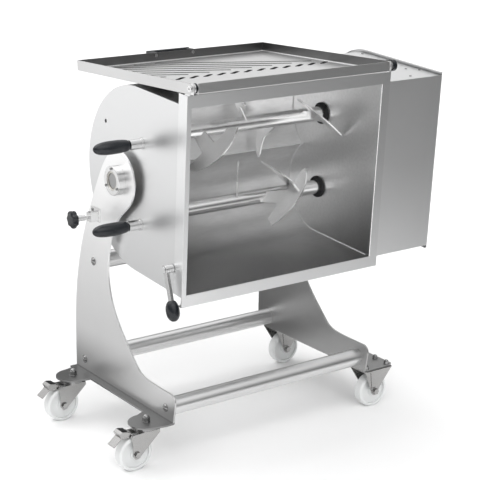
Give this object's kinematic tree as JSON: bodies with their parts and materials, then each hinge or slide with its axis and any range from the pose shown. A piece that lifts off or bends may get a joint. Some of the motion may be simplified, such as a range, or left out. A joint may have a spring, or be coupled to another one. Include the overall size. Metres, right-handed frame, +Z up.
{
  "type": "meat mixer",
  "caption": "Tilting twin-shaft meat mixer in stainless steel on a caster trolley, with a folded-back slotted lid and a side drive housing.",
  "frame": {"origin": "centre of the bounding box in X and Y, at floor level", "axes": "+X along the mixing shafts towards the drive housing, -Y towards the side the open mouth faces, +Z up"},
  "size_m": [1.053, 0.646, 1.0685],
  "materials": {
    "steel_stand": "satin",
    "steel_turned": "bright",
    "bronze": "satin",
    "black_plastic": "gloss",
    "zinc": "satin",
    "wheel_plastic": "matte",
    "steel_sheet": "satin",
    "gear_steel": "satin",
    "black_rubber": "matte",
    "gearbox_alloy": "satin",
    "motor_paint": "satin"
  },
  "bodies": {
    "stand": {"stand_plate_left": "steel_stand", "stand_plate_right": "steel_stand", "cross_tube_front": "steel_stand", "cross_tube_rear": "steel_stand", "cross_tube_upper": "steel_stand", "tube_bolts": "steel_turned", "pivot_housing_left": "steel_turned", "pivot_housing_right": "steel_turned", "pivot_bushes": "bronze", "index_block": "steel_turned", "stand_screws": "steel_turned", "caster_studs": "steel_turned", "caster_fixings": "steel_turned", "caster_fork_fr": "zinc", "caster_fork_rr": "zinc"},
    "index_pin": {"index_plunger": "steel_turned", "index_knob": "black_plastic"},
    "bowl": {"bowl_jacket": "steel_sheet", "trough": "steel_sheet", "end_wall_left": "steel_sheet", "end_wall_right": "steel_sheet", "end_cover_left": "steel_sheet", "mouth_rim": "steel_sheet", "bridge_frame": "steel_sheet", "trunnion_left": "steel_turned", "trunnion_right": "steel_turned", "shaft_bearings": "gear_steel", "shaft_seals": "black_rubber", "gearbox": "gearbox_alloy", "motor": "motor_paint", "housing_wall": "steel_sheet", "housing_shell": "steel_sheet", "housing_cover": "steel_sheet", "cable_gland": "black_plastic", "sheet_screws": "steel_turned", "hinge_rod": "steel_turned", "hinge_knobs": "black_plastic", "lid_rest_pads": "black_rubber", "grip_ferrules": "steel_turned", "grips": "black_plastic"},
    "lid": {"lid_tray": "steel_sheet", "lid_handle": "black_plastic", "lid_handle_screws": "steel_turned"},
    "latch": {"latch_lever": "steel_turned", "latch_knob": "black_plastic"},
    "upper_paddles": {"paddle_shaft_upper": "steel_turned", "gear_upper": "gear_steel"},
    "lower_paddles": {"paddle_shaft_lower": "steel_turned", "gear_lower": "gear_steel"},
    "pinion": {"drive_pinion": "gear_steel"},
    "caster_fl": {"caster_fork_fl": "zinc"},
    "wheel_fl": {"caster_wheel_fl": "wheel_plastic"},
    "brake_fl": {"brake_lever_fl": "zinc"},
    "caster_rl": {"caster_fork_rl": "zinc"},
    "wheel_rl": {"caster_wheel_rl": "wheel_plastic"},
    "brake_rl": {"brake_lever_rl": "zinc"},
    "wheel_fr": {"caster_wheel_fr": "wheel_plastic"},
    "wheel_rr": {"caster_wheel_rr": "wheel_plastic"}
  },
  "joints": [
    {"name": "bowl_tilt", "type": "hinge", "parent": "stand", "child": "bowl", "pos_m": [-0.0245, 0.02924, 0.756], "axis": [1, 0, 0], "range_deg": [-101.85, 0]},
    {"name": "lid_hinge", "type": "hinge", "parent": "bowl", "child": "lid", "pos_m": [-0.0245, -0.30704, 1.0525], "axis": [1, 0, 0], "range_deg": [0, 275.6]},
    {"name": "upper_paddles_turn", "type": "hinge", "parent": "bowl", "child": "upper_paddles", "pos_m": [-0.0245, -0.0216, 0.87664], "axis": [1, 0, 0], "continuous": true},
    {"name": "lower_paddles_turn", "type": "hinge", "parent": "bowl", "child": "lower_paddles", "pos_m": [-0.0245, -0.00528, 0.65123], "axis": [1, 0, 0], "continuous": true},
    {"name": "pinion_turn", "type": "hinge", "parent": "bowl", "child": "pinion", "pos_m": [0.3495, -0.04734, 0.76149], "axis": [1, 0, 0], "continuous": true},
    {"name": "latch_swing", "type": "hinge", "parent": "bowl", "child": "latch", "pos_m": [-0.3575, -0.20825, 0.56034], "axis": [1, 0, 0], "range_deg": [-60, 60]},
    {"name": "index_pull", "type": "slide", "parent": "stand", "child": "index_pin", "axis": [-1, 0, 0], "range_m": [0, 0.012], "stiffness_N_per_m": 700, "springref_m": -0.008},
    {"name": "swivel_fl", "type": "hinge", "parent": "stand", "child": "caster_fl", "pos_m": [-0.4145, -0.17676, 0.112], "axis": [0, 0, 1], "continuous": true},
    {"name": "wheel_turn_fl", "type": "hinge", "parent": "caster_fl", "child": "wheel_fl", "pos_m": [-0.4565, -0.17676, 0.05], "axis": [0, 1, 0], "continuous": true},
    {"name": "brake_press_fl", "type": "hinge", "parent": "caster_fl", "child": "brake_fl", "pos_m": [-0.4665, -0.17676, 0.105], "axis": [0, 1, 0], "range_deg": [-8, 0]},
    {"name": "swivel_rl", "type": "hinge", "parent": "stand", "child": "caster_rl", "pos_m": [-0.4145, 0.23924, 0.112], "axis": [0, 0, 1], "continuous": true},
    {"name": "wheel_turn_rl", "type": "hinge", "parent": "caster_rl", "child": "wheel_rl", "pos_m": [-0.4565, 0.23924, 0.05], "axis": [0, 1, 0], "continuous": true},
    {"name": "brake_press_rl", "type": "hinge", "parent": "caster_rl", "child": "brake_rl", "pos_m": [-0.4665, 0.23924, 0.105], "axis": [0, 1, 0], "range_deg": [-8, 0]},
    {"name": "wheel_turn_fr", "type": "hinge", "parent": "stand", "child": "wheel_fr", "pos_m": [0.3635, -0.19776, 0.05], "axis": [0, 1, 0], "continuous": true},
    {"name": "wheel_turn_rr", "type": "hinge", "parent": "stand", "child": "wheel_rr", "pos_m": [0.3635, 0.24324, 0.05], "axis": [0, 1, 0], "continuous": true}
  ],
  "couplings": [
    {"joint": "lower_paddles_turn", "follows": "upper_paddles_turn", "ratio": 1},
    {"joint": "pinion_turn", "follows": "upper_paddles_turn", "ratio": -2.1053}
  ]
}
